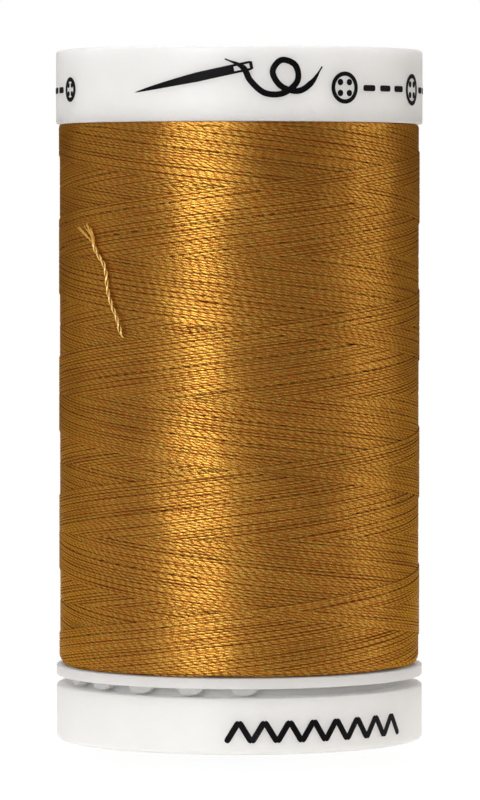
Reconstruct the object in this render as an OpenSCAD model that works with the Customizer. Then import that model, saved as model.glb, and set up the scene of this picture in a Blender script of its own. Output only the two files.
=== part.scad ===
// Spool of sewing thread with a base cap that pulls open to hold the thread's end.
// Millimetres. The spool's axis is Z, the foot stands on z = 0 and the front is -Y.

/* [Overall] */
// Height of the whole spool, from the foot to the rim
spool_h = 63.8; // [58:0.2:80]
// Outside diameter of the flanges and of the base cap
flange_d = 34; // [32:0.5:40]

/* [Barrel] */
// Outside diameter of the barrel under the thread
barrel_d = 21.6; // [20:0.2:24]
// Wall of the barrel
barrel_wall = 1.3; // [1.1:0.1:1.8]
// Chamfer at the mouth of the barrel, where the fingers enter
mouth_chamfer = 0.4; // [0.2:0.1:0.6]
// Diameter of the two holes for the spool pin
pin_bore_d = 9; // [6:0.5:10]
// Wall of the collars round the pin holes
collar_wall = 1.5; // [1:0.1:2]

/* [Top end] */
// Height of the band at the top
band_h = 6.8; // [5:0.2:10]
// Wall of the band
band_wall = 1.3; // [1:0.1:2]
// Thickness of the disc that closes the barrel and carries the band
top_disc_t = 1.2; // [0.8:0.1:2]
// Rounding of the rim's outer edge
rim_edge_r = 0.35; // [0.2:0.05:0.6]
// Rounding of the rim's inner edge
rim_inner_r = 0.3; // [0.1:0.05:0.3]
// Rounding of the band's lower edge
band_low_r = 0.15; // [0.1:0.05:0.5]
// Spokes between the collar and the band
spokes = 4; // [3:1:8]
// Thickness of each spoke
spoke_t = 1.1; // [0.8:0.1:1.6]
// Distance of the collar's end from the rim's plane
collar_drop = 0.6; // [0:0.1:2]
// Distance of the spokes' upper edges from the rim's plane
spoke_drop = 1.2; // [0.8:0.1:3]

/* [Thread lock] */
// Thickness of the lower flange
lip_t = 0.95; // [0.8:0.05:1.6]
// Rounding of the lower flange's edge
lip_edge_r = 0.1; // [0.1:0.05:0.4]
// Height of the groove between the lower flange and the base cap
lock_gap = 0.85; // [0.6:0.05:1.2]
// Width of each tooth's steep flank
tooth_steep = 1; // [0.7:0.1:1.2]
// Width of each tooth's sloping flank, on the side that the thread slides in over
tooth_slope = 1.4; // [1:0.1:1.5]
// Depth of each tooth, towards the axis
tooth_depth = 1; // [0.6:0.1:1.4]
// Distance of the teeth from the flange's edge
tooth_inset = 1; // [0.6:0.1:1.2]
// Gap between the teeth's tips and the closed base cap
tooth_play = 0.15; // [0.1:0.05:0.3]
// Teeth in each of the two groups
teeth_per_group = 5; // [1:1:8]
// Angle between neighbouring teeth
tooth_pitch = 18; // [12:1:20]
// Angle of a group's first tooth from the front, towards +X
tooth_start = 1; // [-20:1:20]
// Wall of the guard ring on the base cap, behind the teeth
guard_wall = 1.1; // [0.8:0.1:1.4]
// Gap between the guard ring and the teeth, and between it and the lower flange
guard_play = 0.15; // [0.1:0.05:0.3]

/* [Base cap] */
// Height of the base cap's skirt
cap_h = 5.1; // [4.4:0.1:8]
// Wall of the skirt
cap_wall = 1.5; // [1.2:0.1:2]
// Thickness of the cap's disc
cap_disc_t = 1.2; // [0.8:0.1:1.6]
// Rounding of the foot's outer edge
foot_r = 0.4; // [0.3:0.05:0.8]
// Rounding of the foot's inner edge
foot_inner_r = 0.25; // [0.1:0.05:0.3]
// Rounding of the cap's upper edge
cap_edge_r = 0.2; // [0.1:0.05:0.6]
// Height of the collar's and the ribs' lower edges above the foot's plane
cap_recess = 1; // [0.4:0.1:2]
// Ribs between the collar and the skirt
cap_ribs = 4; // [3:1:8]
// Thickness of each rib
cap_rib_t = 1; // [0.8:0.1:1.6]
// How far the cap pulls down from its closed place
cap_travel = 2; // [1:0.25:3]

/* [Snap fingers] */
// Height of the fingers above the cap's disc
finger_h = 10; // [8:0.5:14]
// Thickness of each finger
finger_t = 1.1; // [0.8:0.1:1.4]
// Gap between the fingers and the barrel
finger_play = 0.2; // [0.1:0.05:0.3]
// Width of the slots between the fingers
slot_w = 3.2; // [2.4:0.2:4]
// Gap on each side of the ribs that key the cap to the barrel
key_play = 0.4; // [0.2:0.05:0.6]
// How far each bead stands out of its finger
bead_out = 0.55; // [0.4:0.05:0.6]
// Height of each bead
bead_h = 2.1; // [1.8:0.1:2.6]
// Angle that each bead spans
bead_angle = 28; // [16:2:36]
// Gap round the beads in their groove
bead_play = 0.15; // [0.1:0.05:0.25]
// Ledge left between each finger and the moulding window beside it
window_ledge = 0.1; // [0.05:0.05:0.2]

/* [Winding] */
// Distance of the wound thread from the flange's edge
thread_inset = 0.25; // [0.2:0.05:2]
// Rounding of the winding at the lower flange
thread_low_r = 1; // [0.2:0.1:2]
// Rounding of the winding at the band
thread_high_r = 0.3; // [0.2:0.1:2]
// Diameter of the thread's loose end
tail_d = 0.3; // [0.2:0.05:0.5]
// Gap between the loose end and the winding
tail_play = 0.02; // [0.01:0.01:0.1]
// Height at which the loose end leaves the winding
tail_top = 47.6; // [40:0.2:52]
// How far the loose end hangs down from there
tail_drop = 10.2; // [6:0.2:16]

/* [Hidden] */

$fn = 96;
fillet_steps = 6;
// Depth that a joined feature sinks into the wall that carries it
root = 0.2;
// Overshoot of a cutter past the face that it cuts
over = 0.5;

plastic = [0.93, 0.92, 0.9];
cap_plastic = [0.95, 0.94, 0.93];
gold = [0.69, 0.49, 0.2];

flange_r = flange_d / 2;
barrel_r = barrel_d / 2;
bore_r = barrel_r - barrel_wall;
pin_r = pin_bore_d / 2;
collar_r = pin_r + collar_wall;
thread_r = flange_r - thread_inset;
cup_r = flange_r - band_wall;

cap_top = cap_h;
lip_low = cap_top + lock_gap;
lip_top = lip_low + lip_t;
band_low = spool_h - band_h;
cup_floor = band_low + top_disc_t;

tooth_in = flange_r - tooth_inset - tooth_depth;
tooth_tip = cap_top + tooth_play;
tooth_hang = lip_low - tooth_tip;
guard_r = tooth_in - guard_play;
guard_in = guard_r - guard_wall;
guard_top = lip_low - guard_play;
tooth_groups = 2;
tooth_steps = 12;

skirt_r = flange_r - cap_wall;
disc_low = cap_top - cap_disc_t;

finger_r = bore_r - finger_play;
finger_in = finger_r - finger_t;
finger_top = cap_top + finger_h;
fingers = 4;
// Half the angle of a slot that is slot_w wide at the fingers' inner faces
slot_half = asin(slot_w / 2 / finger_in);
finger_angle = 360 / fingers - 2 * slot_half;
bead_r = finger_r + bead_out;
bead_low = finger_top - bead_h;
snap_r = bead_r + bead_play;
snap_low = bead_low - cap_travel - bead_play;
snap_top = finger_top + bead_play;
// Height over which the groove's shoulders slope out to its floor
snap_slope = snap_r - bore_r;
key_w = slot_w - 2 * key_play;
keys = 2;

// Route of the loose end: angle from the front towards +X, and share of its drop
tail_turns = [
    [-55, 0], [-53.8, 0.06], [-52, 0.12], [-50.6, 0.2], [-48.6, 0.27], [-46.4, 0.34],
    [-45.3, 0.43], [-45, 0.52], [-44.3, 0.61], [-42.9, 0.71], [-41, 0.81], [-39.9, 0.9], [-38.6, 1]
];
tail_route = [for (p = tail_turns) [p[0], tail_top - p[1] * tail_drop]];
tail_sides = 8;
tail_steps = 2;

// Points of an arc round centre c from angle a0 to a1
function arc(c, r, a0, a1) = [
    for (i = [0 : fillet_steps])
        let (a = a0 + (a1 - a0) * i / fillet_steps)
        [c[0] + r * cos(a), c[1] + r * sin(a)]
];

// Copies of a feature evenly round the axis, the first at angle start
module around(count, start = 0) {
    for (i = [0 : count - 1])
        rotate([0, 0, start + i * 360 / count])
            children();
}

// Straight radial wall from radius r0 to r1
module radial_wall(r0, r1, z0, z1, t) {
    translate([r0, -t / 2, z0])
        cube([r1 - r0, t, z1 - z0]);
}

// Section of the spool body: barrel, pin collar, cup, band, lower flange
barrel_inside = [
    [bore_r + mouth_chamfer, lip_low],
    [bore_r, lip_low + mouth_chamfer],
    [bore_r, snap_low],
    [snap_r, snap_low + snap_slope],
    [snap_r, snap_top - snap_slope],
    [bore_r, snap_top],
    [bore_r, band_low]
];
collar_section = [
    [pin_r, band_low],
    [pin_r, spool_h - collar_drop],
    [collar_r, spool_h - collar_drop],
    [collar_r, cup_floor],
    [cup_r, cup_floor]
];
band_section = concat(
    arc([cup_r + rim_inner_r, spool_h - rim_inner_r], rim_inner_r, 180, 90),
    arc([flange_r - rim_edge_r, spool_h - rim_edge_r], rim_edge_r, 90, 0),
    arc([flange_r - band_low_r, band_low + band_low_r], band_low_r, 0, -90),
    [[barrel_r, band_low], [barrel_r, lip_top]]
);
lip_section = concat(
    arc([flange_r - lip_edge_r, lip_top - lip_edge_r], lip_edge_r, 90, 0),
    arc([flange_r - lip_edge_r, lip_low + lip_edge_r], lip_edge_r, 0, -90)
);

// Outline of a tooth: two quarters of ellipses that meet at its tip
tooth_outline = concat(
    [[tooth_slope, lip_low + root], [-tooth_steep, lip_low + root]],
    [for (i = [0 : tooth_steps])
        let (a = 180 * i / tooth_steps, w = a < 90 ? tooth_steep : tooth_slope)
        [-w * cos(a), lip_low - tooth_hang * sin(a)]]
);

// Rounded tooth that hangs from the lower flange in front of the guard ring
module lock_tooth() {
    translate([tooth_in, 0, 0])
        rotate([90, 0, 90])
            linear_extrude(tooth_depth)
                polygon(tooth_outline);
}

// Rib on the barrel's inside that runs in a slot between two fingers
module key_rib() {
    radial_wall(finger_in, snap_r + root, lip_low + mouth_chamfer, snap_top + snap_slope, key_w);
}

module spool_body() {
    color(plastic) {
        rotate_extrude()
            polygon(concat(barrel_inside, collar_section, band_section, lip_section));
        around(spokes, 180 / spokes)
            radial_wall(collar_r - root, cup_r + root, cup_floor - root, spool_h - spoke_drop, spoke_t);
        around(tooth_groups)
            for (i = [0 : teeth_per_group - 1])
                rotate([0, 0, tooth_start - 90 - i * tooth_pitch])
                    lock_tooth();
        around(keys, 180 / fingers)
            key_rib();
    }
}

// Section of the base cap: pin collar, disc, guard ring and skirt
cap_section = concat(
    [[pin_r, cap_recess], [pin_r, cap_top]],
    [[guard_in, cap_top], [guard_in, guard_top], [guard_r, guard_top], [guard_r, cap_top]],
    arc([flange_r - cap_edge_r, cap_top - cap_edge_r], cap_edge_r, 90, 0),
    arc([flange_r - foot_r, foot_r], foot_r, 0, -90),
    arc([skirt_r + foot_inner_r, foot_inner_r], foot_inner_r, -90, -180),
    [[skirt_r, disc_low], [collar_r, disc_low], [collar_r, cap_recess]]
);

// Springy finger that reaches up into the barrel, centred on +X
module finger() {
    rotate([0, 0, -finger_angle / 2])
        rotate_extrude(angle = finger_angle)
            translate([finger_in, cap_top - root])
                square([finger_t, finger_h + root]);
}

// Bead on the finger's outer face, sloped below to let go and above to enter
module bead() {
    rotate([0, 0, -bead_angle / 2])
        rotate_extrude(angle = bead_angle)
            polygon([
                [finger_r - root, bead_low], [finger_r, bead_low],
                [bead_r, bead_low + bead_out], [bead_r, finger_top - bead_out],
                [finger_r, finger_top], [finger_r - root, finger_top]
            ]);
}

// Window in the disc under a bead, through which the bead is moulded
module bead_window() {
    rotate([0, 0, -bead_angle / 2])
        rotate_extrude(angle = bead_angle)
            translate([finger_r + window_ledge, disc_low - over])
                square([bead_r - finger_r, cap_disc_t + 2 * over]);
}

module base_cap() {
    color(cap_plastic) {
        difference() {
            rotate_extrude()
                polygon(cap_section);
            around(fingers)
                bead_window();
        }
        around(fingers) {
            finger();
            bead();
        }
        around(cap_ribs, 180 / cap_ribs)
            radial_wall(collar_r - root, skirt_r + root, cap_recess, disc_low + root, cap_rib_t);
    }
}

// All the turns of thread on the barrel, as one ring between the flanges
module thread_package() {
    color(gold)
        rotate_extrude()
            polygon(concat(
                [[barrel_r, band_low], [barrel_r, lip_top]],
                arc([thread_r - thread_low_r, lip_top + thread_low_r], thread_low_r, -90, 0),
                arc([thread_r - thread_high_r, band_low - thread_high_r], thread_high_r, 0, 90)
            ));
}

// Point of a smooth curve through p1 and p2, with neighbours p0 and p3
function smooth(p0, p1, p2, p3, t) = (2 * p1 + (p2 - p0) * t
    + (2 * p0 - 5 * p1 + 4 * p2 - p3) * t * t
    + (3 * p1 - p0 - 3 * p2 + p3) * t * t * t) / 2;

// Point, from angle and height, on the cylinder that the loose end's middle lies on
tail_lay_r = thread_r + tail_play + tail_d / 2;
function on_winding(p) = [tail_lay_r * sin(p[0]), -tail_lay_r * cos(p[0]), p[1]];

function unit(v) = v / norm(v);

// Loose end of the thread, swept along its route on the winding
module thread_tail() {
    last = len(tail_route) - 1;
    path = [
        for (i = [0 : last - 1], k = [0 : tail_steps - 1])
            on_winding(smooth(tail_route[max(i - 1, 0)], tail_route[i], tail_route[i + 1],
                              tail_route[min(i + 2, last)], k / tail_steps)),
        on_winding(tail_route[last])
    ];
    rings = len(path);
    points = [
        for (i = [0 : rings - 1])
            let (along = unit(path[min(i + 1, rings - 1)] - path[max(i - 1, 0)]),
                 out = unit([path[i][0], path[i][1], 0]),
                 side = unit(cross(along, out)))
            for (j = [0 : tail_sides - 1])
                let (a = 360 * j / tail_sides)
                path[i] + tail_d / 2 * (cos(a) * cross(side, along) + sin(a) * side)
    ];
    walls = [
        for (i = [0 : rings - 2], j = [0 : tail_sides - 1])
            let (a = i * tail_sides + j, b = i * tail_sides + (j + 1) % tail_sides)
            [a, a + tail_sides, b + tail_sides, b]
    ];
    first_end = [for (j = [0 : tail_sides - 1]) j];
    last_end = [for (j = [tail_sides - 1 : -1 : 0]) (rings - 1) * tail_sides + j];
    color(gold)
        polyhedron(points, concat(walls, [first_end, last_end]));
}

spool_body();
base_cap();
thread_package();
thread_tail();
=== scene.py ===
"""A spool of gold sewing thread, dressed around its CAD frame.

The plastics keep their CAD shapes and get a moulded finish. The winding is laid as one long thread,
up and down between the flanges, and the loose end, the prints, the lamps and the camera follow.
"""

import math

import bpy
import numpy as np
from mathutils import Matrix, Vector


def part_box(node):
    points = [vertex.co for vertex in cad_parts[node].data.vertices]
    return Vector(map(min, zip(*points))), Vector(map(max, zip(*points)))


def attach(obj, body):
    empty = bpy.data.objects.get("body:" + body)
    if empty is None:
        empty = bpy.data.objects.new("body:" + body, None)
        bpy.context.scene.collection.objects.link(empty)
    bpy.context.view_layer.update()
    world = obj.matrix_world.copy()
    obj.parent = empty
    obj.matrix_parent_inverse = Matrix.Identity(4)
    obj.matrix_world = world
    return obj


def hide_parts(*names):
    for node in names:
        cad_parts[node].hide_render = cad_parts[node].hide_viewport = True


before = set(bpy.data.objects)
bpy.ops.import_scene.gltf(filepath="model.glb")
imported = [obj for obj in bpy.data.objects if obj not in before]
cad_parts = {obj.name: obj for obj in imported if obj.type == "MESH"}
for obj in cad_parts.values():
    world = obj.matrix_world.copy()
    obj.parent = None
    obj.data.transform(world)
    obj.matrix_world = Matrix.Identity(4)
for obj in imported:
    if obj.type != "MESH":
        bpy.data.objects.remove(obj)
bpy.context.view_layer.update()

bl_info = {
    "name": "Thread Spool",
    "version": (1, 0, 0),
    "blender": (4, 5, 0),
    "location": "View3D > Sidebar > Spool",
    "description": "Winds, prints and lights a spool of sewing thread",
    "category": "Object",
}

MM = 0.001

PACKAGE_LOW, PACKAGE_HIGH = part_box("thread_package")
_, BODY_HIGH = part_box("spool_body")
CAP_LOW, CAP_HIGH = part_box("base_cap")
TAIL_LOW, TAIL_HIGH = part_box("thread_tail")

# Way of the loose end over the winding: angle from the front in degrees, and share of its drop
TAIL_ROUTE = ((-55, 0), (-53.8, 0.06), (-52, 0.12), (-50.6, 0.2), (-48.6, 0.27), (-46.4, 0.34), (-45.3, 0.43),
              (-45, 0.52), (-44.3, 0.61), (-42.9, 0.71), (-41, 0.81), (-39.9, 0.9), (-38.6, 1))

# Where a tuft of the fray splits off and where it ends: angle from the front in degrees, and height in
# mm over the top of the loose end's middle line. First those that bend off to the left, then the highest
# at the right edge, and how far both places move down to the lowest there
STRAY_TUFTS = (((-53.0, -1.16), (-59.6, -0.03)), ((-52.7, -1.1), (-58.0, -0.05)))
EDGE_TUFT = np.array(((-52.0, -1.03), (-55.6, 0.25)))
EDGE_SHIFT = np.array(((1.1, -0.2), (4.3, -0.9)))
# Random moves of these two places, each way, and of the root's angle
TUFT_SCATTER, ROOT_SCATTER = ((0.3, 0.05), (1.0, 0.16)), 0.4
# Least and most lift of a tuft off the winding at its root, its split and its tip, in mm
TUFT_LIFTS = ((-0.05, 0.12), (-0.08, 0.14), (-0.12, 0.1))
# Least and most shade on a tuft, where less than 0 is a glint
TUFT_SHADES = (-0.15, 0.22)

# The band's motifs, in mm across from the front and up from the band's lower edge, and the needle's eye,
# in mm back from the head
NEEDLE_POINT, NEEDLE_HEAD, NEEDLE_WIDTH = (-10.0, 2.6), (1.2, 5.0), 0.85
EYE_NEAR, EYE_FAR, EYE_HALF_WIDTH = 0.4, 1.7, 0.14
CURL = ((-1.3, 5.55), (0.3, 4.8), (1.0, 3.6), (2.3, 2.5), (4.0, 2.5), (5.3, 3.6), (5.1, 5.0), (3.8, 5.45),
        (3.0, 4.4), (3.8, 3.1), (5.4, 2.7), (6.7, 3.5), (7.7, 4.9))
ROW_HEIGHT, FIRST_BUTTON, SMALL_BUTTON = 3.05, 10.1, -19.4

# A bunch of threads: how closely it holds together, how much that swings, and the swings in one turn
BUNCH_HOLD, BUNCH_SWING, BUNCH_RATES = 0.62, 0.75, (0.7, 1.3, 2.1)


def length(name, description, default, low=0.0, high=0.2):
    """A size in metres that shows in the user's own unit."""
    return bpy.props.FloatProperty(
        name=name, description=description, default=default, min=low, max=high,
        subtype="DISTANCE", unit="LENGTH", precision=6)


def share(name, description, default, low=0.0, high=1.0):
    """A plain number without a unit."""
    return bpy.props.FloatProperty(
        name=name, description=description, default=default, min=low, max=high)


def angle(name, description, default):
    """An angle, given here in degrees."""
    return bpy.props.FloatProperty(
        name=name, description=description, default=math.radians(default),
        subtype="ANGLE", unit="ROTATION")


def colour(name, description, default):
    """A colour, in linear light."""
    return bpy.props.FloatVectorProperty(
        name=name, description=description, default=default, size=3,
        min=0.0, max=1.0, subtype="COLOR")


def number(name, description, default, low, high):
    """A count."""
    return bpy.props.IntProperty(
        name=name, description=description, default=default, min=low, max=high)


class SPOOL_PG_winding(bpy.types.PropertyGroup):
    """How the thread is laid on the barrel."""

    strokes: number("Strokes", "Double strokes of the thread guide that show outside", 52, 20, 90)
    turns: number("Turns", "Turns of the spool in one double stroke", 8, 4, 12)
    ring_steps: number("Steps", "Rings of the mesh in one turn", 97, 48, 160)
    pieces: number("Pieces", "Pieces that the winding is split into", 6, 1, 12)
    width: length("Thread width", "Width of the thread where it lies flat", 0.262 * MM)
    thickness: length("Thread thickness", "Thickness of the thread where it lies flat", 0.12 * MM)
    layer: length("Layer", "Height that one layer of thread adds", 0.08 * MM)
    proud: length("Proud", "How far the outermost strokes lie outside the solid winding", 0.05 * MM)
    overrun_top: length("Upper overrun", "How far the stroke would pass the band if not stopped", 0.49 * MM)
    overrun_low: length("Lower overrun", "How far the stroke would pass the lip if not stopped", 0.29 * MM)
    margin: length("Margin", "Distance of the last turns' middle from the flanges", 0.15 * MM)
    scatter: length("Scatter", "How much the places where the thread turns back differ", 0.5 * MM)
    front: angle("Front", "Angle from the front at which the last upward and downward turns cross", -4)
    low_round: length("Lower rounding", "Rounding of the winding at the lip", 1 * MM)
    high_round: length("Upper rounding", "Rounding of the winding at the band", 0.3 * MM)
    bunch: number("Bunch", "Threads that lie close together between two gaps", 8, 4, 12)
    bunch_spread: number("Bunch spread", "Most threads that a bunch has more or fewer than that", 3, 0, 3)
    squeeze_up: share("Squeeze up", "How far the upward threads of a bunch close up", 0.06)
    squeeze_down: share("Squeeze down", "How far the downward threads of a bunch close up", 0.06)
    wander: length("Wander", "How far a thread strays sideways from its line", 0.05 * MM)
    wander_turns: share("Wander turns", "Turns from one stray of a thread to the next", 0.4, 0.1, 4)
    barrel: length("Barrel", "Radius of the barrel that the thread is wound on", 10.82 * MM)
    core: length("Core depth", "Depth of the core's surface below that of the solid winding", 0.32 * MM)
    recess: length("Recess", "Gap between the solid core and the flanges", 0.1 * MM)
    seed: number("Seed", "Start of the random draws", 7, 0, 999)


class SPOOL_PG_thread(bpy.types.PropertyGroup):
    """The thread itself: twist, colours and gloss."""

    lay: length("Lay", "Length of one full twist of the two plies", 1.64 * MM)
    gold: colour("Gold", "Colour of the filaments", (0.45, 0.078, 0.006))
    gleam: colour("Gleam", "Colour of the light that the crests of the plies throw back", (0.52, 0.385, 0.07))
    # Colour of the painted shade in the grooves between plies, at the threads' sides, under other threads and
    # on the core
    painted_shade_colour: colour("Deep", "Colour in the grooves between plies", (0.075, 0.010, 0.001))
    # The loose end is the winding's thread, painted a lighter gold for the light it catches where it stands
    # proud
    lit_tail_gold: colour("Loose end", "Colour of the loose end", (1.0, 0.64, 0.15))
    # Colour of the glints painted on the loose end, which also gleam there as metal
    tail_glint: colour("Loose glint", "Colour of the light that the loose end throws back", (1.0, 0.93, 0.68))
    tail_roughness: share("Loose roughness", "Roughness of the loose end", 0.3)
    gloss: colour("Gloss", "Colour of the filaments' gloss", (1.0, 0.7, 0.2))
    lustre: share("Lustre", "Share of the light that the crests throw back in their own colour", 1)
    index: share("Index", "Index of refraction that gives the filaments their gloss", 1.5, 1, 4)
    gloss_level: share("Gloss level", "Strength of that gloss, where 0.5 is what the index gives", 0.25)
    drift: share("Drift", "Twists by which the thread slips out of step with its neighbours", 4.0, 0, 20)
    uneven: share("Unevenness", "Uneven places on one metre of the winding", 130, 1, 999)
    swell: share("Swell", "Height of the uneven places, against that of a ply's crest", 50, 0, 200)
    flatness: share("Flatness", "How flat the upper side of a laid thread looks", 0.85)
    roughness: share("Roughness", "Roughness of the filaments", 0.37)


class SPOOL_PG_tail(bpy.types.PropertyGroup):
    """The loose end that lies on the winding."""

    thickness: length("Thickness", "Thickness of the loose end", 0.3 * MM)
    lay: length("Lay", "Length of one full twist of its two plies", 1.78 * MM)
    ply: share("Ply", "Thickness of one ply, as a share of the loose end's", 0.62)
    apart: share("Apart", "Distance of a ply from the middle, as a share of the thickness", 0.28)
    apart_low: share("Apart at the end", "The same distance at the lower end, where the plies part", 0.5)
    play: length("Play", "Gap between the winding and the loose end", 0.02 * MM)
    fray: length("Fray", "Length of the untwisted filaments", 1.9 * MM)
    filaments: number("Filaments", "Filaments that show in the frayed end", 24, 0, 60)
    filament: length("Filament", "Thickness of one tuft of filaments", 0.05 * MM)
    stray: share("Stray", "Share of the filaments that bend off to the left", 0.22)
    # Where the loose end's painted glints sit, and how squarely a crest must face that way
    glint: angle("Glint", "How far to the right of straight outwards the plies glint", 35)
    glint_from: share("Glint from", "How squarely a crest faces that way before it glints", 0.84)
    parting: length("Parting", "Length over which the plies part at the lower end", 1.3 * MM)
    tuck: length("Tuck", "Depth to which the lower end goes between the threads", 0.4 * MM)
    tuck_run: length("Tuck run", "Length over which the lower end goes in", 0.6 * MM)
    seed: number("Seed", "Start of the random draws", 3, 0, 999)


class SPOOL_PG_print(bpy.types.PropertyGroup):
    """The printed sewing motifs."""

    ink: colour("Ink", "Colour of the ink", (0.003, 0.003, 0.0035))
    coat: length("Coat", "Thickness of the ink", 0.03 * MM)
    line: length("Line", "Width of the printed lines", 0.55 * MM)
    button: length("Button", "Diameter of the printed buttons", 2.9 * MM)
    small: share("Small button", "Size of the left button, as a share of the others'", 0.78)
    rim: share("Button rim", "Line of a button's rim, as a share of the printed lines", 0.7)
    dash: length("Dash", "Length of a printed stitch", 1.5 * MM)
    dash_gap: length("Dash gap", "Gap between printed stitches", 0.7 * MM)
    stitch: length("Stitch", "Pitch of the herringbone row", 2.32 * MM)
    stitch_height: length("Stitch height", "Height of the herringbone row", 1.9 * MM)
    stitches: number("Stitches", "Stitches of the herringbone row", 8, 1, 30)
    stitch_low: length("Stitch low", "Height of the herringbone row above the cap's foot", 1.15 * MM)
    stitch_left: length("Stitch left", "Where the herringbone row begins, to the left of the front", 1.2 * MM)


class SPOOL_PG_plastic(bpy.types.PropertyGroup):
    """The white mouldings."""

    body: colour("Body", "Colour of the spool body", (0.875, 0.872, 0.867))
    cap: colour("Cap", "Colour of the base cap", (0.94, 0.938, 0.932))
    roughness: share("Roughness", "Roughness of the mouldings", 0.45)


class SPOOL_PG_stage(bpy.types.PropertyGroup):
    """Lamps, floor and camera."""

    eye_height: length("Eye height", "Height of the camera above the spool's foot", 48.1 * MM)
    aside: length("Aside", "How far the camera stands to the right of the spool's axis", 0.065 * MM)
    distance: length("Distance", "Distance of the camera from the spool's axis", 476 * MM, 0.1, 2)
    lens: share("Lens", "Focal length in millimetres, for a 36 mm sensor", 230.4, 20, 400)
    pitch: angle("Pitch", "How far the camera looks down", 2.01)
    ambient: share("Ambient", "Strength of the light from all sides", 0.1, 0, 4)
    key: share("Key", "Power of the key lamp in watts", 2.05, 0, 100)
    left: share("Left", "Power of the left lamp in watts", 0.3, 0, 100)
    right: share("Right", "Power of the right lamp in watts", 1.0, 0, 100)
    top: share("Top", "Power of the lamp overhead in watts", 3.6, 0, 100)
    room: length("Room", "Height of the base above the floor, so that the base cap can come down", 2.05 * MM)
    tint: colour("Tint", "Colour of the light from the right and from all sides", (1.0, 0.93, 0.87))
    bounce: colour("Bounce", "Colour of the light that the floor throws up", (0.9, 0.875, 0.84))
    glow: share("Glow", "Strength of the light that the floor adds near the spool", 0.28, 0, 4)
    glow_near: length("Glow near", "Distance from the axis up to which the floor glows fully", 30 * MM)
    glow_far: length("Glow far", "Distance from the axis at which the floor's glow ends", 70 * MM)
    shadow: share("Shadow", "Share of the floor's light that the spool's faint shadow is seen in", 0.12)


def clear_selection():
    """Nothing is selected and no object is being edited."""
    if bpy.context.object and bpy.context.object.mode != "OBJECT":
        bpy.ops.object.mode_set(mode="OBJECT")
    bpy.ops.object.select_all(action="DESELECT")


def material(name):
    """A new material with its Principled shader."""
    made = bpy.data.materials.new(name)
    made.use_nodes = True
    return made, made.node_tree.nodes["Principled BSDF"]


class Graph:
    """The nodes of a material or of the world, written as sums."""

    def __init__(self, made):
        self.tree = made.node_tree

    def node(self, kind, **values):
        made = self.tree.nodes.new(kind)
        for name, value in values.items():
            setattr(made, name, value)
        return made

    def feed(self, socket, value):
        if isinstance(value, bpy.types.NodeSocket):
            self.tree.links.new(value, socket)
        else:
            socket.default_value = value

    def filled(self, made, *values):
        for socket, value in zip(made.inputs, values):
            self.feed(socket, value)
        return made.outputs[0]

    def maths(self, operation, *values):
        return self.filled(self.node("ShaderNodeMath", operation=operation), *values)

    def uv(self, name):
        split = self.node("ShaderNodeSeparateXYZ")
        self.feed(split.inputs[0], self.node("ShaderNodeUVMap", uv_map=name).outputs[0])
        return split.outputs[0], split.outputs[1]

    def joined(self, *values):
        return self.filled(self.node("ShaderNodeCombineXYZ"), *values)

    def place(self):
        return self.node("ShaderNodeTexCoord").outputs["Object"]

    def noise(self, vector, scale, detail=2.0, roughness=0.5):
        made = self.node("ShaderNodeTexNoise")
        self.feed(made.inputs["Vector"], vector)
        self.feed(made.inputs["Scale"], scale)
        self.feed(made.inputs["Detail"], detail)
        self.feed(made.inputs["Roughness"], roughness)
        return made.outputs["Fac"]

    def ramp(self, value, low, high, out_low=0.0, out_high=1.0):
        made = self.node("ShaderNodeMapRange", interpolation_type="SMOOTHSTEP")
        return self.filled(made, value, low, high, out_low, out_high)

    def mix(self, share_in, a, b):
        made = self.node("ShaderNodeMix", data_type="RGBA")
        self.feed(made.inputs[0], share_in)
        for socket, tint in ((6, a), (7, b)):
            self.feed(made.inputs[socket], tint if isinstance(tint, bpy.types.NodeSocket) else (*tint, 1))
        return made.outputs[2]

    def scaled(self, value, factor):
        return self.maths("MULTIPLY", value, factor)

    def product(self, first, *others):
        for other in others:
            first = self.maths("MULTIPLY", first, other)
        return first

    def bump(self, height, distance, strength=1.0):
        made = self.node("ShaderNodeBump")
        self.feed(made.inputs["Height"], height)
        self.feed(made.inputs["Distance"], distance)
        self.feed(made.inputs["Strength"], strength)
        return made.outputs[0]


def filament_gloss(g, shader, height, distance, thread):
    """The soft golden gloss that both the laid and the loose thread have."""
    g.feed(shader.inputs["Normal"], g.bump(height, distance))
    shader.inputs["IOR"].default_value = thread.index
    shader.inputs["Specular IOR Level"].default_value = thread.gloss_level
    shader.inputs["Specular Tint"].default_value = (*thread.gloss, 1)


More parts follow.
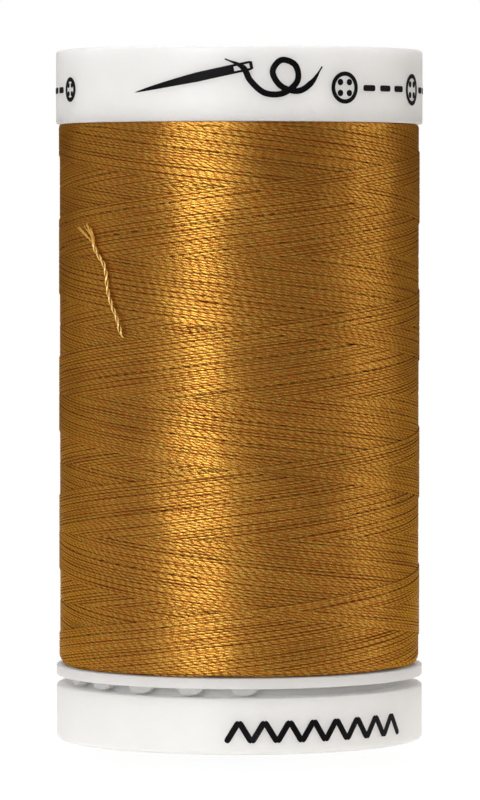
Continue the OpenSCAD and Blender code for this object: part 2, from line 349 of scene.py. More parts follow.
def ply_material(name, thread):
    """Two twisted plies of fine filaments, drawn along the thread's own UV map.

    The map runs in millimetres along the thread and in turns round it, with 0.5 on its upper side.
    """
    made, shader = material(name)
    g = Graph(made)
    along, around = g.uv("ply")
    # The twist slips a little on its long way, so that no two neighbours keep step
    drift = g.scaled(g.noise(g.joined(g.scaled(along, 0.006)), 1.0, 1.0), thread.drift)
    twist = g.maths("SUBTRACT", g.maths("ADD", around, drift), g.maths("DIVIDE", along, thread.lay / MM))
    crest = g.maths("ABSOLUTE", g.maths("COSINE", g.scaled(twist, 2 * math.pi)))
    filaments = g.noise(g.joined(g.scaled(along, 3.5), g.scaled(twist, 5.0)), 1.0, 3.0, 0.6)
    sparks = g.noise(g.joined(g.scaled(along, 7.0), g.scaled(around, 9.0), 7.3), 1.0, 1.0)
    # A ply bulges at its crest, so that the painted shadow between neighbours is a row of dots
    side = g.maths("MULTIPLY_ADD", crest, -0.06, g.maths("ABSOLUTE", g.maths("SUBTRACT", around, 0.5)))
    # Neighbours part and close up again on their way, so that the painted shade between them comes and goes
    parted = g.noise(g.joined(g.scaled(along, 0.12), g.scaled(around, 6.0), 3.1), 1.0, 1.0)
    side = g.maths("ADD", side, g.maths("MULTIPLY_ADD", parted, 0.5, -0.27))
    # Painted shade: the grooves between the plies, the thread's sides and what lies under other threads are
    # darkened towards the shade colour, and the filaments' grain varies the tone too
    painted_light = g.node("ShaderNodeAttribute", attribute_name="painted_light").outputs["Fac"]
    tone = g.product(
        g.ramp(crest, 0.0, 0.6, 0.4, 1.0), g.ramp(filaments, 0.3, 0.65, 0.6, 1.0),
        g.ramp(side, 0.025, 0.16, 1.0, 0.3), g.ramp(painted_light, 0.0, 1.0, 1.0, 0.65))
    gleam = g.product(
        g.ramp(crest, 0.1, 0.8, 0.35, 1.0), g.ramp(sparks, 0.35, 0.7, 0.16, 1.0),
        g.ramp(side, 0.03, 0.15, 1.0, 0.1))
    body = g.mix(tone, thread.painted_shade_colour, thread.gold)
    g.feed(shader.inputs["Base Color"], g.mix(gleam, body, thread.gleam))
    height = g.maths("ADD", g.maths("POWER", crest, 0.6), g.scaled(filaments, 0.7))
    # The winding is a little uneven, which bends the gleam to and fro
    height = g.maths("ADD", height, g.scaled(g.noise(g.place(), thread.uneven, 1.0), thread.swell))
    filament_gloss(g, shader, height, 0.01 * MM, thread)
    g.feed(shader.inputs["Metallic"], g.ramp(gleam, 0.0, 0.35, 0.0, thread.lustre))
    g.feed(shader.inputs["Roughness"], g.ramp(tone, 0.2, 0.7, 0.9, thread.roughness))
    return made


def filament_material(name, thread):
    """Fine bright filaments that run slightly aslant along a single ply.

    The point attribute read below is 1 where shade from other filaments is painted on, and -1 where a glint
    is painted on.
    """
    made, shader = material(name)
    g = Graph(made)
    along, around = g.uv("ply")
    slant = g.maths("ADD", g.scaled(around, 12.0), g.scaled(along, 5.0))
    filaments = g.noise(g.joined(g.scaled(along, 1.2), slant), 1.0, 3.0, 0.6)
    # Between the thread's own gold and the lighter gold painted for the light on the loose end
    lit = g.mix(g.ramp(filaments, 0.25, 0.6, 0.35, 1.0), thread.gold, thread.lit_tail_gold)
    painted_light = g.node("ShaderNodeAttribute", attribute_name="painted_light").outputs["Fac"]
    # Painted glint where the attribute is below 0, and painted shade where it is above
    glint = g.ramp(painted_light, 0.0, -1.0)
    shaded = g.mix(g.ramp(painted_light, 0.1, 0.7), lit, thread.painted_shade_colour)
    g.feed(shader.inputs["Base Color"], g.mix(glint, shaded, thread.tail_glint))
    filament_gloss(g, shader, filaments, 0.015 * MM, thread)
    g.feed(shader.inputs["Metallic"], glint)
    shader.inputs["Roughness"].default_value = thread.tail_roughness
    return made


def shade_material(name, thread):
    """Painted shade for what shows between the threads: a dark colour on the core under them."""
    made, shader = material(name)
    g = Graph(made)
    tone = g.noise(g.place(), 3000.0, 2.0)
    g.feed(shader.inputs["Base Color"], g.mix(tone, [0.5 * c for c in thread.painted_shade_colour], thread.painted_shade_colour))
    shader.inputs["Roughness"].default_value = 0.9
    return made


def ink_material(name, ink):
    """Matt black ink, a little thin in places."""
    made, shader = material(name)
    g = Graph(made)
    thin = g.ramp(g.noise(g.place(), 120.0, 1.0), 0.62, 0.75)
    streaks = g.ramp(g.noise(g.place(), 9000.0, 3.0), 0.45, 0.6)
    worn = g.product(thin, streaks)
    g.feed(shader.inputs["Base Color"], g.mix(worn, ink, [14 * c for c in ink]))
    shader.inputs["Specular IOR Level"].default_value = 0.08
    g.feed(shader.inputs["Roughness"], g.ramp(streaks, 0.0, 1.0, 0.42, 0.55))
    g.feed(shader.inputs["Normal"], g.bump(streaks, 0.004 * MM))
    return made


def moulded_material(name, base, roughness):
    """Matt moulded plastic with a faint mottling and a few specks of dust."""
    made, shader = material(name)
    g = Graph(made)
    place = g.place()
    mottle = g.noise(place, 260.0, 3.0)
    grain = g.noise(place, 2600.0, 2.0)
    cells = g.node("ShaderNodeTexVoronoi")
    g.feed(cells.inputs["Vector"], place)
    g.feed(cells.inputs["Scale"], 320.0)
    specks = g.ramp(cells.outputs["Distance"], 0.025, 0.012)
    tone = g.mix(g.ramp(mottle, 0.3, 0.7), [0.975 * c for c in base], base)
    g.feed(shader.inputs["Base Color"], g.mix(specks, tone, [0.72 * c for c in base]))
    g.feed(shader.inputs["Roughness"], g.ramp(mottle, 0.3, 0.7, roughness - 0.05, roughness + 0.05))
    g.feed(shader.inputs["Normal"], g.bump(grain, 0.012 * MM, 0.5))
    shader.inputs["Subsurface Weight"].default_value = 0.9
    shader.inputs["Subsurface Radius"].default_value = (1, 1, 1)
    shader.inputs["Subsurface Scale"].default_value = 4 * MM
    return made


def wave(position, height, turns_each):
    """Height of the thread guide, which goes up and down once in turns_each turns."""
    half = turns_each / 2
    return height * (1 - np.abs(np.mod(position, turns_each) / half - 1))


def smoothed(values, reach):
    """Values averaged along the thread over reach steps to each side."""
    kernel = np.bartlett(2 * reach + 3)[1:-1]
    padded = np.pad(values, reach, mode="edge")
    return np.convolve(padded, kernel / kernel.sum(), mode="valid")


def ripple(turn, phases, rates):
    """Slow random swing between -1 and 1 along the thread."""
    swing = sum(np.sin(2 * math.pi * (rate * turn + phase)) for rate, phase in zip(rates, phases))
    return swing / len(rates)


def edge_drop(height, w):
    """How far the winding's surface draws in towards the flanges, in metres."""
    drop = np.zeros_like(height)
    for near, r in ((height - PACKAGE_LOW.z, w.low_round), (PACKAGE_HIGH.z - height, w.high_round)):
        inside = np.clip(r - near, 0, r)
        drop += r - np.sqrt(r * r - inside * inside)
    return drop


def bunch_offset(w, rng, turn, number_of, step):
    """How far the threads move sideways as they gather in bunches, with gaps between."""
    offset = np.zeros(len(turn))
    # Upward threads lie higher the younger they are, and downward ones lower
    for family, squeeze, direction in ((0, w.squeeze_up, -1), (1, w.squeeze_down, 1)):
        members = np.arange(family, 2 * w.strokes, 2)
        ends = np.cumsum(
            rng.integers(w.bunch - w.bunch_spread, w.bunch + w.bunch_spread + 1, len(members)))
        for inside in np.split(members, ends[ends < len(members)]):
            middle = inside.mean()
            phases = rng.random(3)
            for stroke_number in inside:
                at = number_of == stroke_number
                # The threads of a bunch swing together
                swing = BUNCH_SWING * ripple(turn[at] % (w.turns / 2), phases, BUNCH_RATES)
                strength = np.clip(BUNCH_HOLD + swing, 0, 1.1)
                away = (stroke_number - middle) / 2
                offset[at] += direction * away * squeeze * step * strength
    return offset


def lay_thread(w):
    """Outermost strokes of the thread: turn number, height, radius, and where others lie on it, which gets
    painted shade.
    """
    rng = np.random.default_rng(w.seed)
    turns_each = w.turns - 1 / w.strokes
    low = PACKAGE_LOW.z - w.overrun_low
    high = PACKAGE_HIGH.z + w.overrun_top
    rise = 2 * (high - low) / turns_each
    count = int(w.strokes * turns_each * w.ring_steps) + 1
    turn = np.arange(count) / w.ring_steps
    stroke_at = turn / (turns_each / 2)
    number_of = np.minimum(stroke_at.astype(int), 2 * w.strokes - 1)
    upward = number_of % 2 == 0
    # Crossing of the last upward and downward strokes: a height on the front line
    cross = high - rise / 2 + rise / (4 * w.strokes)
    front = w.front / (2 * math.pi)
    first_age = 1 - 0.25 / w.strokes
    start = front + first_age - (cross - low) / rise
    height = low + wave(turn, high - low, turns_each)
    place = turn + start

    # The younger of two threads that cross lies on top
    age = 1 - (number_of / 2 + 0.25) / w.strokes
    lead = rise * (place - front)
    other = np.where(upward, height - cross + lead, cross + lead - height) / rise
    other -= np.floor(other)
    lift = w.layer * (2 - age - other - (other < age))
    # Where another thread lies over this one, its material paints shade on it
    painted_light = smoothed((other < age).astype(float), 1)

    offset = bunch_offset(w, rng, turn, number_of, rise / w.strokes)
    knots = np.arange(0, turns_each * w.strokes + 1, w.wander_turns)
    wander = w.wander * np.interp(turn, knots, rng.uniform(-1, 1, len(knots)))
    # Each stroke turns back at a place of its own
    end_of = (stroke_at + 0.5).astype(int)
    top = PACKAGE_HIGH.z - w.margin - w.scatter * rng.random(2 * w.strokes + 1)[end_of] ** 2
    bottom = PACKAGE_LOW.z + w.margin + w.scatter * rng.random(2 * w.strokes + 1)[end_of] ** 2
    height = smoothed(np.clip(height + offset + wander, bottom, top), 2)

    outer = PACKAGE_HIGH.x + w.proud - w.thickness / 2 - 2 * w.layer
    radius = outer + smoothed(lift, 1) - edge_drop(height, w)
    return place, height, radius, painted_light


def curve_through(points, steps):
    """Points of a smooth curve through the given ones, so many steps from one to the next."""
    points = np.array(points, float)
    ends = np.vstack([2 * points[0] - points[1], points, 2 * points[-1] - points[-2]])
    t = np.linspace(0, 1, steps, endpoint=False)[:, None]
    stretches = [(2 * b + (c - a) * t + (2 * a - 5 * b + 4 * c - d) * t ** 2
                  + (3 * b - 3 * c + d - a) * t ** 3) / 2
                 for a, b, c, d in zip(ends, ends[1:], ends[2:], ends[3:])]
    return np.vstack(stretches + [points[-1:]])


def around_spool(angles, radii, heights):
    """Points at these angles from the front, and the outward directions there."""
    outs = np.stack([np.sin(angles), -np.cos(angles), np.zeros(len(angles))], 1)
    points = outs * np.asarray(radii)[..., None]
    points[:, 2] = heights
    return points, outs


def run_of(points):
    """Length along the points, up to each of them."""
    return np.concatenate([[0], np.cumsum(np.linalg.norm(np.diff(points, axis=0), axis=1))])


# Corners of a laid thread's ring, from the side that lies on the core, and those of a round ply
LAID_RING = np.radians([0, 80, 130, 180, 230, 280])
ROUND_RING = np.radians(np.arange(0, 360, 45))


def sweep(name, middles, outs, ring_angles, width, thickness, uv_rows, first_length=0.0, flatness=0.0):
    """A closed tube along middles. Its map "ply" gives the way along, in mm, and the way round.

    Its map "OFBake" spreads it over the whole square, in so many rows one over the other.
    """
    count, sides = len(middles), len(ring_angles)
    along = np.gradient(middles, axis=0)
    along /= np.linalg.norm(along, axis=1, keepdims=True)
    side = np.cross(outs, along)
    side /= np.linalg.norm(side, axis=1, keepdims=True)
    across = np.sin(ring_angles)[None, :, None] * side[:, None]
    upward = -np.cos(ring_angles)[None, :, None] * outs[:, None]
    rings = middles[:, None] + across * width / 2 + upward * thickness / 2
    mesh = bpy.data.meshes.new(name)
    ring, corner = np.meshgrid(np.arange(count - 1), np.arange(sides), indexing="ij")
    following = (corner + 1) % sides
    quads = np.stack([ring * sides + corner, ring * sides + following,
                      (ring + 1) * sides + following, (ring + 1) * sides + corner], -1).reshape(-1, 4)
    ends = [list(range(sides - 1, -1, -1)), list(range((count - 1) * sides, count * sides))]
    mesh.from_pydata(rings.reshape(-1, 3), [], quads.tolist() + ends)
    mesh.polygons.foreach_set("use_smooth", np.ones(len(mesh.polygons), bool))
    if flatness:
        normals = ((1 - flatness) * across + upward).reshape(-1, 3)
        normals /= np.linalg.norm(normals, axis=1, keepdims=True)
        mesh.normals_split_custom_set_from_vertices(normals)

    lengths = first_length + run_of(middles)
    turned = np.append(ring_angles, 2 * math.pi) / (2 * math.pi)
    u0, u1 = lengths[ring] / MM, lengths[ring + 1] / MM
    v0, v1 = turned[corner], turned[corner + 1]
    ply = np.stack([np.stack([u, v], -1) for u, v in ((u0, v0), (u0, v1), (u1, v1), (u1, v0))], 2)
    strip = -(-(count - 1) // uv_rows)
    x0, row = (ring % strip) / strip, ring // strip
    x1 = x0 + 1 / strip
    y0, y1 = (row + v0) / uv_rows, (row + v1) / uv_rows
    bake = np.stack([np.stack([x, y], -1) for x, y in ((x0, y0), (x0, y1), (x1, y1), (x1, y0))], 2)
    for layer_name, values in (("ply", ply), ("OFBake", bake)):
        layer = mesh.uv_layers.new(name=layer_name)
        flat = np.zeros((len(mesh.loops), 2))
        flat[:quads.size] = values.reshape(-1, 2)
        flat[quads.size:] = values.reshape(-1, 2)[0]
        layer.data.foreach_set("uv", flat.ravel())
    made = bpy.data.objects.new(name, mesh)
    bpy.context.scene.collection.objects.link(made)
    return made


def mark_painted_light(piece, shades):
    """Keeps each point's painted shade, and on the loose end its painted glints, for its material."""
    layer = piece.data.attributes.new("painted_light", "FLOAT", "POINT")
    layer.data.foreach_set("value", np.asarray(shades, np.float32).ravel())


def points_of(mesh):
    """Places of the mesh's points, one row each."""
    flat = np.empty(3 * len(mesh.vertices))
    mesh.vertices.foreach_get("co", flat)
    return flat.reshape(-1, 3)


def join_as(name, parts):
    """All the parts as one object of this name."""
    clear_selection()
    for part in parts:
        part.select_set(True)
    bpy.context.view_layer.objects.active = parts[0]
    bpy.ops.object.join()
    made = bpy.context.object
    made.name = made.data.name = name
    return made


def select_faces(piece, wanted):
    """Goes into edit mode with only those faces of the piece selected that are wanted."""
    bpy.ops.object.mode_set(mode="EDIT")
    bpy.ops.mesh.select_mode(type="FACE")
    bpy.ops.mesh.select_all(action="DESELECT")
    bpy.ops.object.mode_set(mode="OBJECT")
    for face in piece.data.polygons:
        face.select = bool(wanted(face))
    bpy.ops.object.mode_set(mode="EDIT")


def select_level(piece, ends, near=1.0):
    """Goes into edit mode with the piece's lower (-1) or upper (1) level faces near the axis selected."""
    def is_level(face):
        return (any(face.normal.z * end > 0.99 for end in ends)
                and math.hypot(face.center.x, face.center.y) < near)

    select_faces(piece, is_level)


class SPOOL_OT_wind_core(bpy.types.Operator):
    """Turn the solid core that the outermost strokes of thread lie on"""

    bl_idname = "spool.wind_core"
    bl_label = "Wind Core"

    def execute(self, context):
        w, thread = context.scene.spool_winding, context.scene.spool_thread
        clear_selection()
        low, high = PACKAGE_LOW.z + w.recess, PACKAGE_HIGH.z - w.recess
        bpy.ops.mesh.primitive_cylinder_add(
            vertices=120, radius=PACKAGE_HIGH.x - w.core, depth=high - low,
            location=(0, 0, (low + high) / 2))
        core = context.object
        core.name = core.data.name = "thread_core"
        bpy.ops.object.transform_apply()
        for end, rounding in ((-1, w.low_round), (1, w.high_round)):
            select_level(core, (end,))
            bpy.ops.mesh.region_to_loop()
            bpy.ops.mesh.bevel(offset=rounding, segments=4)
            bpy.ops.object.mode_set(mode="OBJECT")
            select_level(core, (end,))
            bpy.ops.mesh.inset(thickness=PACKAGE_HIGH.x - w.core - rounding - w.barrel)
            bpy.ops.object.mode_set(mode="OBJECT")
        # The two inner discs make way for the barrel
        select_level(core, (-1, 1), w.barrel * 0.1)
        bpy.ops.mesh.bridge_edge_loops()
        bpy.ops.mesh.select_all(action="SELECT")
        bpy.ops.mesh.normals_make_consistent(inside=False)
        bpy.ops.object.mode_set(mode="OBJECT")
        bpy.ops.object.shade_smooth_by_angle(angle=math.radians(35))
        # The core is painted in the shade colour, as the dark between the outermost threads
        core.data.materials.clear()
        core.data.materials.append(shade_material("thread_shadow", thread))
        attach(core, "spool")
        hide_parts("thread_package")
        return {"FINISHED"}


class SPOOL_OT_wind_thread(bpy.types.Operator):
    """Lay the outermost strokes of thread as one long thread, split into pieces"""

    bl_idname = "spool.wind_thread"
    bl_label = "Wind Thread"

    def execute(self, context):
        w, thread = context.scene.spool_winding, context.scene.spool_thread
        place, height, radius, painted_light = lay_thread(w)
        middles, outs = around_spool(2 * math.pi * place, radius, height)
        finish = ply_material("gold_filament", thread)
        runs = run_of(middles)
        # A laid thread's girth is about 0.8 of that of a rectangle round it
        girth = 2 * (w.width + w.thickness) * 0.8
        cuts = np.linspace(0, len(place) - 1, w.pieces + 1).astype(int)
        for i, (first, last) in enumerate(zip(cuts[:-1], cuts[1:])):
            rows = round(math.sqrt((runs[last] - runs[first]) / girth))
            piece = sweep(f"thread_winding_{i + 1}", middles[first:last + 1], outs[first:last + 1],
                          LAID_RING, w.width, w.thickness, rows, runs[first], thread.flatness)
            mark_painted_light(piece, np.repeat(painted_light[first:last + 1], len(LAID_RING)))
            piece.data.materials.append(finish)
            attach(piece, "spool")
        return {"FINISHED"}


def twist_plies(t, middles, outs, run):
    """The two plies of the loose end, twisted round its middle line up to the fray."""
    along = np.gradient(middles, axis=0)
    side = np.cross(outs, along / np.linalg.norm(along, axis=1, keepdims=True))
    # The plies part a little towards the lower end
    ends = [run[-1] - t.parting, run[-1]]
    apart = t.thickness * np.interp(run, ends, [t.apart, t.apart_low])[:, None]
    ring_out = -np.cos(ROUND_RING)[None, :, None] * outs[:, None]
    ring = ring_out + np.sin(ROUND_RING)[None, :, None] * side[:, None]
    # A glint is painted on each crest where it faces outwards and a little to the right, towards the key lamp
    bright = math.cos(t.glint) * outs + math.sin(t.glint) * side
    twisted = run > t.fray
    pieces = []
    for start in (0, math.pi):
        phase = 2 * math.pi * run / t.lay + start
        turned_to = np.sin(phase)[:, None] * outs + np.cos(phase)[:, None] * side
        way = middles + apart * turned_to
        piece = sweep("ply", way[twisted], outs[twisted], ROUND_RING,
                      t.ply * t.thickness, t.ply * t.thickness, 1)
        # Painted shade on the side of each ply that faces the other one
        shade = -np.einsum("ijk,ik->ij", ring, turned_to)
        faces = np.einsum("ijk,ik->ij", ring, bright) * np.einsum("ik,ik->i", turned_to, bright)[:, None]
        mark_painted_light(piece, np.where(faces > t.glint_from, -1, np.clip(shade, 0, 1))[twisted])
        pieces.append(piece)
    return pieces


def fray_tufts(t, lies, top, before, knot):
    """Tufts of filaments that fan out from the knot, near the twist's upper end.

    Before and knot are an angle in degrees and a height in mm each, like the tufts' own places.
    """
    rng = np.random.default_rng(t.seed)
    pieces = []
    for _ in range(t.filaments):
        # A few bend off to the left. The others end along the fray's right edge, most of them high up
        if rng.uniform() < t.stray:
            split, tip = rng.choice(STRAY_TUFTS)
        else:
            split, tip = EDGE_TUFT + EDGE_SHIFT * rng.uniform(0, 1) ** 1.6
        split = split + rng.uniform(-1, 1, 2) * TUFT_SCATTER[0]
        tip = tip + rng.uniform(-1, 1, 2) * TUFT_SCATTER[1]
        root = (knot[0] + rng.uniform(-ROOT_SCATTER, ROOT_SCATTER), knot[1])
        lifts = [rng.uniform(least, most) for least, most in TUFT_LIFTS]
        ways = np.column_stack([[before, root, split, tip], [0] + lifts])
        ways[:, 1:] *= MM
        ways[:, 1] += top
        way = curve_through(ways, 7)
        points, facing = around_spool(np.radians(way[:, 0]), lies + way[:, 2], way[:, 1])
        piece = sweep("filament", points, facing, ROUND_RING[::2], t.filament, t.filament, 1)
        mark_painted_light(piece, np.full(len(piece.data.vertices), rng.uniform(*TUFT_SHADES)))
        pieces.append(piece)
    return pieces


class SPOOL_OT_lay_tail(bpy.types.Operator):
    """Twist the loose end's two plies and fan out its filaments"""

    bl_idname = "spool.lay_tail"
    bl_label = "Lay Loose End"

    def execute(self, context):
        t, w = context.scene.spool_tail, context.scene.spool_winding
        route = curve_through(TAIL_ROUTE, 16)
        top = TAIL_HIGH.z - t.thickness / 2
        drop = TAIL_HIGH.z - TAIL_LOW.z - t.thickness
        lies = PACKAGE_HIGH.x + w.proud + t.play + t.thickness / 2
        turned, heights = np.radians(route[:, 0]), top - drop * route[:, 1]
        middles, outs = around_spool(turned, np.full(len(route), lies), heights)
        run = run_of(middles)
        left = np.clip((run[-1] - run) / t.tuck_run, 0, 1)
        middles -= outs * (t.tuck * (1 - left) ** 2)[:, None]
        # The filaments come out of the twist a little below its upper end
        knot = np.argmax(run > t.fray) + 2
        before, at_knot = [(route[i, 0], (heights[i] - top) / MM) for i in (knot + 6, knot)]
        pieces = twist_plies(t, middles, outs, run) + fray_tufts(t, lies, top, before, at_knot)
        finish = filament_material("loose_filament", context.scene.spool_thread)
        for piece in pieces:
            piece.data.materials.append(finish)
            piece.data.uv_layers.remove(piece.data.uv_layers["OFBake"])
        tail = join_as("thread_loose_end", pieces)
        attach(tail, "spool")
        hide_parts("thread_tail")
        return {"FINISHED"}


def ribbon(path, widths, rows=1):
    """A flat strip of the given widths along a path, laid out in the plane z = 0."""
    path = np.array(path, float)
    bpy.ops.mesh.primitive_grid_add(x_subdivisions=len(path) - 1, y_subdivisions=rows, size=1)
    mesh = bpy.context.object.data
    at = points_of(mesh)
    step = np.rint((at[:, 0] + 0.5) * (len(path) - 1)).astype(int)
    along = np.gradient(path, axis=0)
    along /= np.linalg.norm(along, axis=1, keepdims=True)
    sideways = np.stack([-along[:, 1], along[:, 0]], 1)
    flat = path[step] + sideways[step] * (np.broadcast_to(widths, len(path))[step] * at[:, 1])[:, None]
    mesh.vertices.foreach_set("co", np.column_stack([flat, np.zeros(len(flat))]).ravel())
    return bpy.context.object


def stroke(start, end, width):
    """A straight printed stitch with rounded ends."""
    ends = np.array([0, 0.04, 0.12, 0.3, 0.5, 0.7, 0.88, 0.96, 1])
    path = np.array(start) + (np.array(end) - np.array(start)) * ends[:, None]
    return ribbon(path, width * np.array([0.45, 0.8, 1, 1, 1, 1, 1, 0.8, 0.45]))


def disc(x, y, radius, hollow=0.0):
    """A printed dot, or a ring where hollow is the radius of its hole."""
    bpy.ops.mesh.primitive_circle_add(vertices=32, radius=radius, fill_type="NGON",
                                      location=(x, y, 0), enter_editmode=True)
    if hollow:
        bpy.ops.mesh.inset(thickness=radius - hollow)
        bpy.ops.mesh.delete(type="FACE")
    bpy.ops.object.mode_set(mode="OBJECT")
    return bpy.context.object


def printed_button(x, y, across, line):
    """Outline of a button with four holes."""
    hole = 0.17 * across
    return [disc(x, y, across / 2, across / 2 - line)] + [
        disc(x + i * hole, y + j * hole, 0.1 * across) for i in (-1, 1) for j in (-1, 1)]


def wrap_print(name, parts, radius, finish, coat):
    """Joins flat printed parts, thickens them and lays them round the spool at this radius."""
    made = join_as(name, parts)
    bpy.ops.object.transform_apply()
    wall = made.modifiers.new("coat", "SOLIDIFY")
    wall.thickness = 2 * coat
    wall.offset = 0
    bpy.ops.object.modifier_apply(modifier=wall.name)
    x, y, z = points_of(made.data).T
    points, _ = around_spool(x / radius, radius + z, y)
    made.data.vertices.foreach_set("co", points.ravel())
    made.data.update()
    made.data.materials.clear()
    made.data.materials.append(finish)
    return made


def printed_needle(low):
    """A slim needle with a long eye, over the band's lower edge."""
    point, head = [np.array(place) * MM + (0, low) for place in (NEEDLE_POINT, NEEDLE_HEAD)]
    ahead = (head - point) / np.linalg.norm(head - point)
    along = np.linspace(0, 1, 41)
    # The shaft swells from its point to about its middle, and the head is rounded off
    widths = np.minimum(along / 0.55, 1) ** 0.7 * np.sqrt(np.clip((1.03 - along) / 0.05, 0, 1))
    needle = ribbon(point + (head - point) * along[:, None], NEEDLE_WIDTH * MM * widths, 4)

    def is_eye(face):
        apart = (np.array(face.center.xy) - head) / MM
        back = -apart @ ahead
        return EYE_NEAR < back < EYE_FAR and apart @ apart - back * back < EYE_HALF_WIDTH ** 2

    select_faces(needle, is_eye)
    bpy.ops.mesh.delete(type="FACE")
    bpy.ops.object.mode_set(mode="OBJECT")
    return needle


def printed_curl(low, line):
    """The needle's thread, which curls away to the right and is thin at both ends."""
    path = curve_through(np.array(CURL) * MM + (0, low), 8)
    from_start = np.arange(len(path))
    return ribbon(path, line * np.clip(np.minimum(from_start, from_start[::-1]) / 9, 0.25, 1))


def printed_row(low, p):
    """Three buttons and a smaller one at the far left, with stitches between and beside them."""
    row, small_at, small = low + ROW_HEIGHT * MM, SMALL_BUTTON * MM, p.small * p.button
    step = p.dash + p.dash_gap
    parts, starts = [], []
    for button in range(3):
        middle = FIRST_BUTTON * MM + button * (p.button + p.dash_gap + 3 * step)
        parts += printed_button(middle, row, p.button, p.rim * p.line)
        if button < 2:
            starts += [middle + p.button / 2 + p.dash_gap + dash * step for dash in range(3)]
    parts += printed_button(small_at, row, small, p.rim * p.line)
    starts += [small_at - small / 2 - p.dash_gap - dash * step - p.dash for dash in range(3)]
    return parts + [stroke((start, row), (start + p.dash, row), p.line) for start in starts]


class SPOOL_OT_print_band(bpy.types.Operator):
    """Print a needle with its thread, stitches and buttons on the tall band"""

    bl_idname = "spool.print_band"
    bl_label = "Print Band"

    def execute(self, context):
        p = context.scene.spool_print
        clear_selection()
        low = PACKAGE_HIGH.z
        parts = [printed_needle(low), printed_curl(low, p.line)] + printed_row(low, p)
        band = wrap_print("band_print", parts, BODY_HIGH.x, ink_material("band_ink", list(p.ink)), p.coat)
        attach(band, "spool")
        return {"FINISHED"}


class SPOOL_OT_print_base(bpy.types.Operator):
    """Print a row of herringbone stitches on the base cap"""

    bl_idname = "spool.print_base"
    bl_label = "Print Base"

    def execute(self, context):
        p = context.scene.spool_print
        clear_selection()
        low = CAP_LOW.z + p.stitch_low
        high = low + p.stitch_height
        parts = []
        for stitch in range(p.stitches):
            start = stitch * p.stitch - p.stitch_left
            top = start + 0.5 * p.stitch
            parts.append(stroke((start, low), (top, high), p.line))
            parts.append(stroke((top, high), (start + p.stitch, low), p.line))
        base = wrap_print("base_print", parts, CAP_HIGH.x, ink_material("base_ink", list(p.ink)), p.coat)
        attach(base, "base")
        return {"FINISHED"}


class SPOOL_OT_finish_plastic(bpy.types.Operator):
    """Give the two mouldings their finish"""

    bl_idname = "spool.finish_plastic"
    bl_label = "Finish Plastic"

    def execute(self, context):
        p = context.scene.spool_plastic
        for node, base in (("spool_body", p.body), ("base_cap", p.cap)):
            made = moulded_material(node + "_plastic", list(base), p.roughness)
            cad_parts[node].data.materials[0] = made
        return {"FINISHED"}


def lay_floor(s):
    """A wide white floor, which also throws light up at the spool."""
    clear_selection()
    bpy.ops.mesh.primitive_plane_add(size=60, location=(0, 0, -s.room))
    floor = bpy.context.object
    floor.name = floor.data.name = "floor"
    made, shader = material("floor_white")
    g = Graph(made)
    shader.inputs["Roughness"].default_value = 0.9
    shader.inputs["Specular IOR Level"].default_value = 0.0
    # The camera sees the floor as white as the background, but for a faint shadow under the spool:
    # near it, a share of what the floor sends out comes from the lamps
    seen = g.node("ShaderNodeLightPath").outputs["Is Camera Ray"]
    away = g.node("ShaderNodeVectorMath", operation="LENGTH")
    g.feed(away.inputs[0], g.place())
    near = g.ramp(away.outputs["Value"], s.glow_far, 2 * s.glow_far, s.shadow, 0.0)
    shown = g.joined(near, near, near)
    g.feed(shader.inputs["Base Color"], g.mix(seen, list(s.bounce), shown))
    glow = g.ramp(away.outputs["Value"], s.glow_near, s.glow_far, s.glow, 0.0)
    shader.inputs["Emission Color"].default_value = (1, 1, 1, 1)
    white = g.product(seen, g.maths("MULTIPLY_ADD", near, -0.5, 1.0))
    g.feed(shader.inputs["Emission Strength"], g.maths("MAXIMUM", white, glow))
    floor.data.materials.append(made)


def light_world(s):
    """White where the camera sees it, and a weak warm light from all sides."""
    world = bpy.data.worlds.new("studio")
    bpy.context.scene.world = world
    world.use_nodes = True
    g = Graph(world)
    seen = g.node("ShaderNodeLightPath").outputs["Is Camera Ray"]
    background = world.node_tree.nodes["Background"]
    g.feed(background.inputs["Color"], g.mix(seen, list(s.tint), (1, 1, 1)))
    g.feed(background.inputs["Strength"], g.maths("MULTIPLY_ADD", seen, 1 - s.ambient, s.ambient))


def hang_lamp(name, turned, width, tall, power, distance=0.6, height=0.12, shine=(1, 1, 1)):
    """An area lamp that stands so many degrees round from the front and points at the spool."""
    data = bpy.data.lights.new(name, "AREA")
    data.color = shine
    data.shape = "RECTANGLE"
    data.size, data.size_y = width, tall
    data.energy = power
    made = bpy.data.objects.new(name, data)
    turned = math.radians(turned)
    made.location = (distance * math.sin(turned), -distance * math.cos(turned), height)
    aim = Vector((0, 0, BODY_HIGH.z / 2))
    made.rotation_euler = (aim - made.location).to_track_quat("-Z", "Y").to_euler()
    bpy.context.scene.collection.objects.link(made)


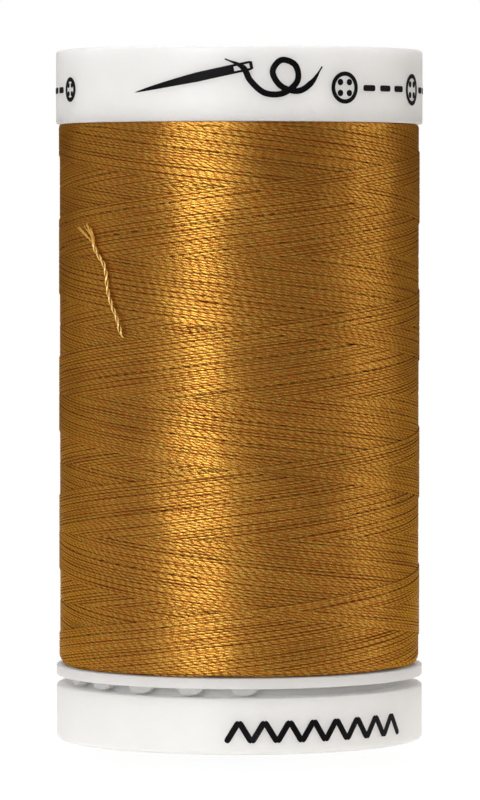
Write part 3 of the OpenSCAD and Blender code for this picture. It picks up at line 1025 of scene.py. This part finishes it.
class SPOOL_OT_set_stage(bpy.types.Operator):
    """Lay the floor, hang the lamps and set up the camera"""

    bl_idname = "spool.set_stage"
    bl_label = "Set Stage"

    def execute(self, context):
        s = context.scene.spool_stage
        lay_floor(s)
        light_world(s)
        hang_lamp("key", turned=-24, width=0.3, tall=0.34, power=s.key)
        hang_lamp("left", turned=-98, width=0.4, tall=0.5, power=s.left)
        hang_lamp("right", turned=88, width=0.4, tall=0.5, power=s.right, shine=s.tint)
        hang_lamp("top", turned=180, width=0.6, tall=0.6, power=s.top, distance=0.1, height=0.6)

        data = bpy.data.cameras.new("camera")
        data.lens = s.lens
        camera = bpy.data.objects.new("camera", data)
        camera.location = (s.aside, -s.distance, s.eye_height)
        camera.rotation_euler = (math.pi / 2 - s.pitch, 0, 0)
        context.scene.collection.objects.link(camera)
        context.scene.camera = camera
        context.scene.view_settings.view_transform = "Standard"
        return {"FINISHED"}


class SPOOL_PT_panel(bpy.types.Panel):
    """Every step, in the order in which they are made"""

    bl_label = "Thread Spool"
    bl_idname = "SPOOL_PT_panel"
    bl_space_type = "VIEW_3D"
    bl_region_type = "UI"
    bl_category = "Spool"

    def draw(self, context):
        for step in STEPS:
            self.layout.operator(step.bl_idname)


SETTINGS = {
    "spool_winding": SPOOL_PG_winding,
    "spool_thread": SPOOL_PG_thread,
    "spool_tail": SPOOL_PG_tail,
    "spool_print": SPOOL_PG_print,
    "spool_plastic": SPOOL_PG_plastic,
    "spool_stage": SPOOL_PG_stage,
}
STEPS = (
    SPOOL_OT_wind_core,
    SPOOL_OT_wind_thread,
    SPOOL_OT_lay_tail,
    SPOOL_OT_print_band,
    SPOOL_OT_print_base,
    SPOOL_OT_finish_plastic,
    SPOOL_OT_set_stage,
)


def register():
    for group in SETTINGS.values():
        bpy.utils.register_class(group)
    for name, group in SETTINGS.items():
        setattr(bpy.types.Scene, name, bpy.props.PointerProperty(type=group))
    for step in STEPS:
        bpy.utils.register_class(step)
    bpy.utils.register_class(SPOOL_PT_panel)


def unregister():
    bpy.utils.unregister_class(SPOOL_PT_panel)
    for step in reversed(STEPS):
        bpy.utils.unregister_class(step)
    for name in SETTINGS:
        delattr(bpy.types.Scene, name)
    for group in SETTINGS.values():
        bpy.utils.unregister_class(group)


def main():
    """Makes every piece in order."""
    register()
    bpy.ops.spool.wind_core()
    bpy.ops.spool.wind_thread()
    bpy.ops.spool.lay_tail()
    bpy.ops.spool.print_band()
    bpy.ops.spool.print_base()
    bpy.ops.spool.finish_plastic()
    bpy.ops.spool.set_stage()


if __name__ == "__main__":
    main()
